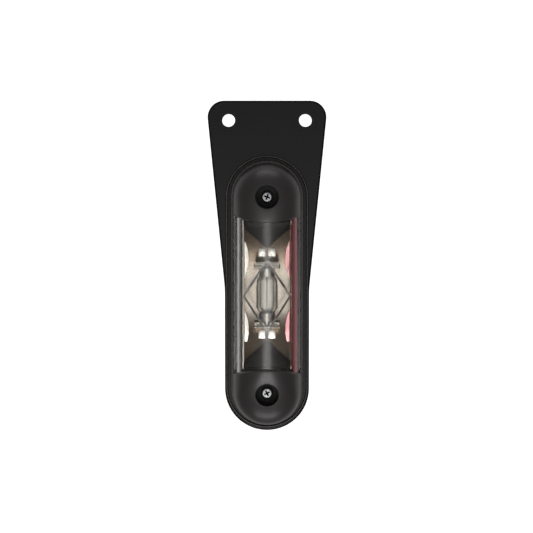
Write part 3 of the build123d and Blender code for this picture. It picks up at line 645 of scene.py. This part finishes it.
def dome(name, shrink, edge):
    """A round-ended outline extruded up its skirt, then drawn in to a crown in the middle of its edge."""
    skin = fresh(name, "circle", vertices=CAP_SIDES, radius=CAP_RADIUS - shrink, rotation=TO_FRONT,
                 location=(0, -CAP_RIM, edge + CAP_REACH))
    edit(skin)
    pick("VERT", lambda m: m.z < edge + CAP_REACH - TINY)
    bpy.ops.mesh.delete(type="VERT")
    pick("VERT", lambda m: m.z < edge + CAP_REACH + TINY)
    bpy.ops.mesh.extrude_vertices_move(TRANSFORM_OT_translate={"value": (0, 0, -CAP_REACH)})
    bpy.ops.mesh.select_all(action="SELECT")
    draw_in(CAP_SKIRT - CAP_RIM, 1, edge)
    rise = CAP_CROWN - CAP_SKIRT - shrink
    angles = [math.pi / 2 * layer / CAP_LAYERS for layer in range(CAP_LAYERS + 1)]
    for below, above in zip(angles, angles[1:]):
        draw_in(rise * (math.sin(above) - math.sin(below)), math.cos(above) / math.cos(below), edge)
    merge_doubles()
    leave()
    return skin


def draw_in(height, scale, edge):
    """Extrudes the selected outline towards the front and scales it towards the crown."""
    bpy.ops.mesh.extrude_edges_move(TRANSFORM_OT_translate={"value": (0, -height, 0)})
    bpy.ops.transform.resize(value=(scale, 1, scale), center_override=(0, 0, edge))


def bow_edge(skin, edge, shift):
    """Lets the lens-side edge fall back in an arc, as seen from the front, and by one more shift all along.

    The piece is left in edit mode.
    """
    radius = (CAP_RADIUS**2 + CAP_SAG**2) / (2 * CAP_SAG)
    edit(skin)
    mesh = bmesh.from_edit_mesh(skin.data)
    for x in sorted({round(v.co.x, 7) for v in mesh.verts if abs(v.co.z - edge) < TINY}):
        pick("VERT", lambda m: abs(m.z - edge) < TINY and abs(m.x - x) < TINY)
        bpy.ops.transform.translate(value=(0, 0, radius - math.sqrt(radius**2 - x**2) + shift))


def roll_lip(cap, edge):
    """In edit mode, rolls the open lens-side edge down over the lens in a quarter round."""
    pick_open_edges()
    mesh = bmesh.from_edit_mesh(cap.data)
    for rim in mesh.edges:
        if rim.select and all(abs(v.co.y + CAP_RIM) < TINY for v in rim.verts):
            rim.select_set(False)
    bmesh.update_edit_mesh(cap.data)
    turns = [math.pi / 2 * step / LIP_STEPS for step in range(LIP_STEPS + 1)]
    for before, after in zip(turns, turns[1:]):
        down = LIP_ROUND * (math.sin(after) - math.sin(before))
        shrink = 1 - LIP_ROUND * (math.cos(before) - math.cos(after)) / CAP_RADIUS
        bpy.ops.mesh.extrude_edges_move(TRANSFORM_OT_translate={"value": (0, 0, -down)})
        bpy.ops.transform.resize(value=(shrink, shrink, 1), center_override=(0, -CAP_SKIRT, edge))


def well_wall(edge, screw_z):
    """The round wall of the screw's well, from the dome down to the web that the screw's head sits on."""
    solid = dome("well_block", WELL_BLOCK_INSET, edge)
    edit(solid)
    pick("EDGE", lambda m: abs(m.y + CAP_RIM) < TINY)
    bpy.ops.mesh.edge_face_add()
    pick_open_edges()
    bpy.ops.mesh.edge_face_add()
    face_outwards()
    leave()
    cut(solid, bar("well_outside", 0, screw_z, WELL_OUTSIDE, -CAP_CROWN - MM, -WEB_BOTTOM, WELL_SIDES),
        "INTERSECT")
    return solid


def end_cap(name, edge, screw_z):
    """One moulded cap: thin dome, rounded lip over the lens, and a bored well for the cover screw."""
    cap = dome(name, 0, edge)
    bow_edge(cap, edge, LIP_ROUND)
    roll_lip(cap, edge)
    leave()
    inside = dome("cap_inside", CAP_WALL, edge)
    bow_edge(inside, edge, 0)
    leave()
    edit(joined([cap, inside]))
    pick_open_edges()
    bpy.ops.mesh.bridge_edge_loops()
    face_outwards()
    leave()
    cut(cap, well_wall(edge, screw_z), "UNION")
    cut(cap, bar("well_bore", 0, screw_z, WELL_RADIUS, -CAP_CROWN - MM, -SCREW_SEAT, WELL_SIDES))
    cut(cap, bar("screw_hole", 0, screw_z, CLEARANCE_RADIUS, -SCREW_SEAT - MM, -WEB_BOTTOM + MM))
    edit(cap)
    merge_doubles()
    mouth = CAP_CROWN - WELL_MOUTH_REACH
    pick("EDGE", lambda m: abs(math.hypot(m.x, m.z - screw_z) - WELL_RADIUS) < 0.06 * MM and -m.y > mouth)
    soften(WELL_MOUTH_ROUND)
    leave()
    return cap


upper_cap = end_cap("upper_cap_moulding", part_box("upper_end_cap")[0].z, middle("upper_cover_screw").z)
lower_cap = mirrored(upper_cap, "lower_cap_moulding")
place(upper_cap, "cover", ["upper_end_cap"], FINISHES["upper_end_cap"])
place(lower_cap, "cover", ["lower_end_cap"], FINISHES["upper_end_cap"])


# --- reflector, baffles, diamond and lips ---------------------------------------------------------------
DISH_FLOOR = 11.6 * MM
DISH_HALF_WIDTH = 11.2 * MM
DISH_HALF_LENGTH = 36.6 * MM
DISH_FLAT = 7.0 * MM                  # flat to here, then curved up to the ends
DISH_RADIUS = 50.0 * MM
DISH_SHEET = 1.0 * MM
DISH_STEPS = 44
DISH_EDGE_ROUND = 0.12 * MM
WALL_TOP = 19.5 * MM
WALL_OUTSIDE = 11.8 * MM
WALL_OVERLAP = 0.2 * MM               # how far each side wall runs into the dish's sheet
SLOT_Z = 13.9 * MM
SLOT_SIZE = (12.8 * MM, 8.0 * MM, 1.6 * MM)
PAD_SIZE = (3.9 * MM, 1.4 * MM, 4.8 * MM)
PAD_X = 2.45 * MM
PAD_Z = 20.0 * MM
PAD_SINK = 0.1 * MM
PAD_TILT = math.radians(2)
PAD_ROUND = 0.3 * MM
LOBE_RADIUS = 22.0 * MM
LOBE_EDGE = 9.0 * MM                  # how near the middle each side lobe comes
LOBE_OUTSIDE = DISH_HALF_WIDTH + 0.05 * MM
LOBE_Z = 17.0 * MM
LOBE_RISE = 2.3 * MM                  # its face over the dish beside it
LOBE_DEPTH = 4 * MM
LOBE_TILT = math.radians(5)
LOBE_SIDES = 256
LOBE_ROUND = 0.35 * MM
LOBE_ROUND_REACH = 2.4 * MM           # only the rim within this depth of its face is rounded
LOBE_ROOM = (20 * MM, 30 * MM)
BAFFLE_TIP = 23.4 * MM
BAFFLE_LENGTH = 14.6 * MM             # along its slope
BAFFLE_HALF_WIDTH = 11.1 * MM
BAFFLE_NOSE = 2.2 * MM
BAFFLE_SHOULDER = 0.6                 # where its nose ends, as a share of the nose's radius
BAFFLE_SLOPE = math.radians(28)
BAFFLE_HEIGHT = 1.9 * MM
BAFFLE_INSET = 2.3 * MM
BAFFLE_RAISE = 1.0 * MM               # the raised middle over the rim
BAFFLE_SINK = 1.0 * MM
BAFFLE_EDGE_ROUND = 0.3 * MM
FLANK_STEPS = 7
FLANK_SHARE = 0.72                    # the share of its length over which it spreads
FLANK_BOW = 0.85
DIAMOND_HALF_WIDTH = 10.15 * MM
DIAMOND_HALF_LENGTH = 16.24 * MM
DIAMOND_CUTS = 11
DIAMOND_OUTLINE = (                   # out from the inner edge, and height, both in mm
    (0, 0), (0.25, 0.22), (0.5, 0.04), (0.75, 0.22), (1, 0), (0, 0))
SAME_X = 2e-8                         # vertices this close in x share one place under the lens's arch
LENS_INSIDE = 13.4 * MM               # half the width inside the lens's arch
LENS_RISE = 12.3 * MM                 # how far the arch rises over that width
LENS_CEILING = 30.1 * MM
LIP_RADIUS = 0.45 * MM
LIP_END_ROUND = 0.2 * MM
LIPS = (                              # z along the lamp, height over the back face, and both ends in x
    (13.35 * MM, 21.2 * MM, 2.0 * MM, 6.1 * MM),
    (13.35 * MM, 21.2 * MM, -6.1 * MM, -2.0 * MM),
    (15.7 * MM, 20.8 * MM, -5.5 * MM, 5.5 * MM))


def dish_height(z):
    """Height of the dish over the plate's back face, at z along the lamp."""
    reach = max(abs(z) - DISH_FLAT, 0)
    return DISH_FLOOR + DISH_RADIUS - math.sqrt(DISH_RADIUS**2 - reach**2)


def reflector_dish():
    """One metallised sheet drawn along the lamp's curve, with side walls and slots for the contacts."""
    dish = fresh("reflector_dish", "plane", size=2 * DISH_HALF_WIDTH, rotation=TO_FRONT,
                 location=(0, -dish_height(DISH_HALF_LENGTH), LAMP - DISH_HALF_LENGTH - DISH_HALF_WIDTH))
    edit(dish)
    pick("VERT", lambda m: m.z < LAMP - DISH_HALF_LENGTH - TINY)
    bpy.ops.mesh.delete(type="VERT")
    bpy.ops.mesh.select_all(action="SELECT")
    places = [DISH_HALF_LENGTH * (2 * step / DISH_STEPS - 1) for step in range(DISH_STEPS + 1)]
    for here, there in zip(places, places[1:]):
        rise = dish_height(there) - dish_height(here)
        bpy.ops.mesh.extrude_edges_move(TRANSFORM_OT_translate={"value": (0, -rise, there - here)})
    bpy.ops.mesh.select_mode(type="FACE")
    face_outwards()
    if bmesh.from_edit_mesh(dish.data).faces[:][0].normal.y > 0:
        bpy.ops.mesh.flip_normals()
    leave()
    apply(dish, "SOLIDIFY", thickness=DISH_SHEET, offset=-1)
    low = DISH_FLOOR - DISH_SHEET
    wall = (WALL_OUTSIDE - DISH_HALF_WIDTH + WALL_OVERLAP, WALL_TOP - low, 2 * DISH_HALF_LENGTH - MM)
    for side in (-1, 1):
        wall_x = side * (WALL_OUTSIDE + DISH_HALF_WIDTH - WALL_OVERLAP) / 2
        cut(dish, block("reflector_wall", wall, wall_x, (WALL_TOP + low) / 2, 0), "UNION")
    for way in (-1, 1):
        cut(dish, block("contact_slot", SLOT_SIZE, 0, DISH_FLOOR, way * SLOT_Z))
    round_edges(dish, DISH_EDGE_ROUND, 2)
    return dish


def bright_pads():
    """Two polished facets either side of the middle, over each contact, with softened edges."""
    pads = []
    height = dish_height(PAD_Z) - PAD_SINK
    for way in (-1, 1):
        for side in (-1, 1):
            pad = block("reflector_bright_pads", PAD_SIZE, side * PAD_X, height, way * PAD_Z, PAD_TILT)
            edit(pad)
            bpy.ops.mesh.select_all(action="SELECT")
            soften(PAD_ROUND)
            leave()
            pads.append(pad)
    return joined(pads)


def side_lobes(name, side):
    """The two flat scallops between the dish and one side wall, each cut from a broad disc."""
    lobes = []
    top = dish_height(LOBE_Z) + LOBE_RISE
    centre_x = side * (LOBE_EDGE + LOBE_RADIUS)
    width = LOBE_OUTSIDE - LOBE_EDGE + MM
    for way in (-1, 1):
        disc = fresh(name, "cylinder", vertices=LOBE_SIDES, radius=LOBE_RADIUS, depth=LOBE_DEPTH,
                     location=(centre_x, LOBE_DEPTH / 2 - top, LAMP + way * LOBE_Z),
                     rotation=(math.pi / 2 + LOBE_TILT, 0, 0))
        edit(disc)
        pick("EDGE", lambda m: math.hypot(m.x - centre_x, m.z - LAMP - way * LOBE_Z) > 0.98 * LOBE_RADIUS
             and -m.y > top - LOBE_ROUND_REACH)
        soften(LOBE_ROUND)
        leave()
        room = block("lobe_room", (width, *LOBE_ROOM), side * (LOBE_OUTSIDE - width / 2), top, way * LOBE_Z)
        cut(disc, room, "INTERSECT")
        lobes.append(disc)
    return joined(lobes)


def baffle(name):
    """Dark tongue over the dish's upper end: a rounded nose, spreading flanks and a raised middle."""
    tongue = fresh(name, "circle", vertices=32, radius=BAFFLE_NOSE, location=(0, 0, BAFFLE_NOSE),
                   rotation=TO_FRONT)
    edit(tongue)
    pick("VERT", lambda m: m.z > BAFFLE_SHOULDER * BAFFLE_NOSE)
    bpy.ops.mesh.delete(type="VERT")
    mesh = bmesh.from_edit_mesh(tongue.data)
    shoulder = max((v.co.copy() for v in mesh.verts), key=lambda co: co.x)
    for side in (-1, 1):
        pick("VERT", lambda m: abs(m.x - side * shoulder.x) < TINY and abs(m.z - shoulder.z) < TINY)
        here = Vector((side * shoulder.x, 0, shoulder.z))
        for step in range(1, FLANK_STEPS + 1):
            share = step / FLANK_STEPS
            there = Vector((side * (shoulder.x + (BAFFLE_HALF_WIDTH - shoulder.x) * share), 0,
                            shoulder.z + (FLANK_SHARE * BAFFLE_LENGTH - shoulder.z) * share**FLANK_BOW))
            bpy.ops.mesh.extrude_vertices_move(TRANSFORM_OT_translate={"value": there - here})
            here = there
        foot = Vector((side * BAFFLE_HALF_WIDTH, 0, BAFFLE_LENGTH))
        bpy.ops.mesh.extrude_vertices_move(TRANSFORM_OT_translate={"value": foot - here})
    bpy.ops.mesh.select_all(action="SELECT")
    bpy.ops.mesh.edge_face_add()
    bpy.ops.mesh.select_mode(type="FACE")
    bpy.ops.mesh.select_all(action="SELECT")
    bpy.ops.mesh.extrude_region_move(TRANSFORM_OT_translate={"value": (0, -BAFFLE_HEIGHT, 0)})
    bpy.ops.mesh.inset(thickness=BAFFLE_INSET, depth=0)
    bpy.ops.transform.translate(value=(0, -BAFFLE_RAISE, 0))
    face_outwards()
    leave()
    base = dish_height(BAFFLE_TIP) - BAFFLE_SINK
    tongue.data.transform(Matrix.Translation((0, -base, LAMP + BAFFLE_TIP))
                          @ Matrix.Rotation(BAFFLE_SLOPE, 4, "X"))
    round_edges(tongue, BAFFLE_EDGE_ROUND, 3)
    return tongue


def lens_diamond():
    """Double ridge round the diamond inside the lens's crown, which spreads the bulb's light."""
    ring = fresh("lens_diamond", "circle", vertices=4, radius=1, fill_type="NOTHING", rotation=TO_FRONT,
                 location=(0, 0, LAMP))
    edit(ring)
    bpy.ops.mesh.select_all(action="SELECT")
    bpy.ops.transform.resize(value=(DIAMOND_HALF_WIDTH, 1, DIAMOND_HALF_LENGTH), center_override=(0, 0, LAMP))
    bpy.ops.mesh.subdivide(number_cuts=DIAMOND_CUTS)
    bpy.ops.mesh.select_all(action="SELECT")
    inner = DIAMOND_HALF_WIDTH * DIAMOND_HALF_LENGTH / math.hypot(DIAMOND_HALF_WIDTH, DIAMOND_HALF_LENGTH)
    for (out, high), (next_out, next_high) in zip(DIAMOND_OUTLINE, DIAMOND_OUTLINE[1:]):
        size = (inner + next_out * MM) / (inner + out * MM)
        bpy.ops.mesh.extrude_edges_move(TRANSFORM_OT_translate={"value": (0, (next_high - high) * MM, 0)})
        bpy.ops.transform.resize(value=(size, 1, size), center_override=(0, 0, LAMP))
    merge_doubles()
    bpy.ops.mesh.normals_make_consistent(inside=False)
    mesh = bmesh.from_edit_mesh(ring.data)
    for x in sorted({round(v.co.x, 8) for v in mesh.verts}):
        pick("VERT", lambda m: abs(m.x - x) < SAME_X)
        fall = LENS_RISE * (1 - math.sqrt(1 - (x / LENS_INSIDE)**2))
        bpy.ops.transform.translate(value=(0, fall - LENS_CEILING, 0))
    leave()
    return ring


def contact_lips(name, way):
    """Rolled lips of one contact, where its legs end: they guide the bulb in and shine as bright lines."""
    lips = []
    for z, height, start_x, end_x in LIPS:
        lip = fresh(name, "cylinder", vertices=24, radius=LIP_RADIUS, depth=end_x - start_x,
                    location=((start_x + end_x) / 2, -height, LAMP + way * z), rotation=(0, math.pi / 2, 0))
        edit(lip)
        pick("FACE", lambda m: min(abs(m.x - start_x), abs(m.x - end_x)) < TINY)
        soften(LIP_END_ROUND)
        leave()
        lips.append(lip)
    return joined(lips)


facet = bright_facet()
place(reflector_dish(), "lamp_mount", ["reflector"], FINISHES["reflector"])
place(bright_pads(), "lamp_mount", ["reflector"], facet)
place(side_lobes("reflector_lobes_left", -1), "lamp_mount", ["reflector"], facet)
# the right-hand lobes carry a painted pink reflection of the red window
place(side_lobes("reflector_lobes_right", 1), "lamp_mount", ["reflector"], painted_red_reflection())
upper_tongue = baffle("upper_baffle_tongue")
lower_tongue = mirrored(upper_tongue, "lower_baffle_tongue")
place(upper_tongue, "lamp_mount", ["upper_baffle"], FINISHES["upper_baffle"])
place(lower_tongue, "lamp_mount", ["lower_baffle"], FINISHES["upper_baffle"])
place(lens_diamond(), "cover", [], FINISHES["lens"], sharp=5)
for end, way in (("upper", 1), ("lower", -1)):
    place(contact_lips(f"{end}_contact_lips", way), f"{end}_contact", [],
          FINISHES["bulb_end_caps"])


# --- studio -------------------------------------------------------------------------------------------
ROOM_SIZE = 6
ROOM_MIDDLE = 2.65
SOFTBOXES = (                         # name, place, width and height, and power in watts
    ("softbox_high", (0, -0.85, LAMP + 0.6), (0.6, 0.24), 0.06),
    ("softbox_low", (-0.05, -0.85, LAMP - 0.42), (0.6, 0.24), 0.5),
    ("softbox_top", (0, -0.12, LAMP + 0.75), (0.5, 0.16), 0.28),
    ("softbox_bottom", (0, -0.12, LAMP - 0.75), (0.5, 0.16), 0.38))
GLOW_DROP = math.radians(14)          # how far below the camera's line the studio is brightest
GLOW_STOPS = (                        # from behind the camera (0) to behind the light (1), and brightness
    (0.0, 2.0), (0.009, 1.45), (0.022, 0.62), (0.045, 0.32), (0.1, 0.18), (0.25, 0.1), (0.6, 0.09),
    (0.74, 0.36))
GLOW_GREEN, GLOW_BLUE = 0.98, 0.965   # a little warmer than white
CAMERA_DISTANCE = 0.63
CAMERA_RISE = 33.5 * MM
CAMERA_VIEW = 266.5 * MM              # the width that it sees at the plate
CAMERA_SENSOR = 36


def room():
    """A white room that only the camera sees."""
    walls = fresh("studio_room", "cube", size=ROOM_SIZE, location=(0, 0, ROOM_MIDDLE))
    edit(walls)
    bpy.ops.mesh.select_all(action="SELECT")
    bpy.ops.mesh.flip_normals()
    leave()
    walls.visible_glossy = walls.visible_diffuse = walls.visible_transmission = walls.visible_shadow = False
    white = start("paper_room_white", {"Base Color": linear("#f4f4f4"), "Roughness": 0.9,
                                       "Emission Color": (1, 1, 1, 1), "Emission Strength": 1.0})[0]
    walls.data.materials.append(white)


def softbox(name, at, size, power):
    """A soft rectangular light that faces the lamp."""
    light = bpy.data.lights.new(name, "AREA")
    light.shape = "RECTANGLE"
    light.size, light.size_y = size
    light.energy = power
    stand = bpy.data.objects.new(name, light)
    bpy.context.scene.collection.objects.link(stand)
    stand.location = at
    stand.rotation_euler = (Vector((0, 0, LAMP)) - Vector(at)).to_track_quat("-Z", "Y").to_euler()


def glow():
    """The studio that the glossy surfaces reflect: bright by the camera, and dark to its sides."""
    world = bpy.data.worlds.new("studio")
    world.use_nodes = True
    tree = world.node_tree
    axis = (0, math.cos(GLOW_DROP), math.sin(GLOW_DROP))
    away = add(tree, "ShaderNodeVectorMath", {"operation": "DOT_PRODUCT", 1: axis},
               {0: add(tree, "ShaderNodeTexCoord").outputs["Generated"]})
    share = add(tree, "ShaderNodeMapRange", {"From Min": -1.0}, {"Value": away.outputs["Value"]})
    ramp = add(tree, "ShaderNodeValToRGB", {}, {"Fac": share.outputs["Result"]})
    while len(ramp.color_ramp.elements) < len(GLOW_STOPS):
        ramp.color_ramp.elements.new(0.5)
    for element, (position, light) in zip(ramp.color_ramp.elements, GLOW_STOPS):
        element.position = position
        element.color = (light, light * GLOW_GREEN, light * GLOW_BLUE, 1)
    tree.links.new(ramp.outputs["Color"], tree.nodes["Background"].inputs["Color"])
    bpy.context.scene.world = world


def camera():
    """Looks at the plate's middle from a little above it, through a long lens."""
    aim = Vector((-0.25 * MM, 0, middle("mounting_plate").z - 0.2 * MM))
    data = bpy.data.cameras.new("camera")
    eye = bpy.data.objects.new("camera", data)
    bpy.context.scene.collection.objects.link(eye)
    eye.location = aim + Vector((0, -CAMERA_DISTANCE, CAMERA_RISE))
    eye.rotation_euler = (aim - eye.location).to_track_quat("-Z", "Y").to_euler()
    data.sensor_width = CAMERA_SENSOR
    data.lens = CAMERA_SENSOR * math.hypot(CAMERA_DISTANCE, CAMERA_RISE) / CAMERA_VIEW
    data.clip_start = 0.01
    bpy.context.scene.camera = eye


room()
for settings in SOFTBOXES:
    softbox(*settings)
glow()
camera()
bpy.context.scene.view_settings.view_transform = "Standard"
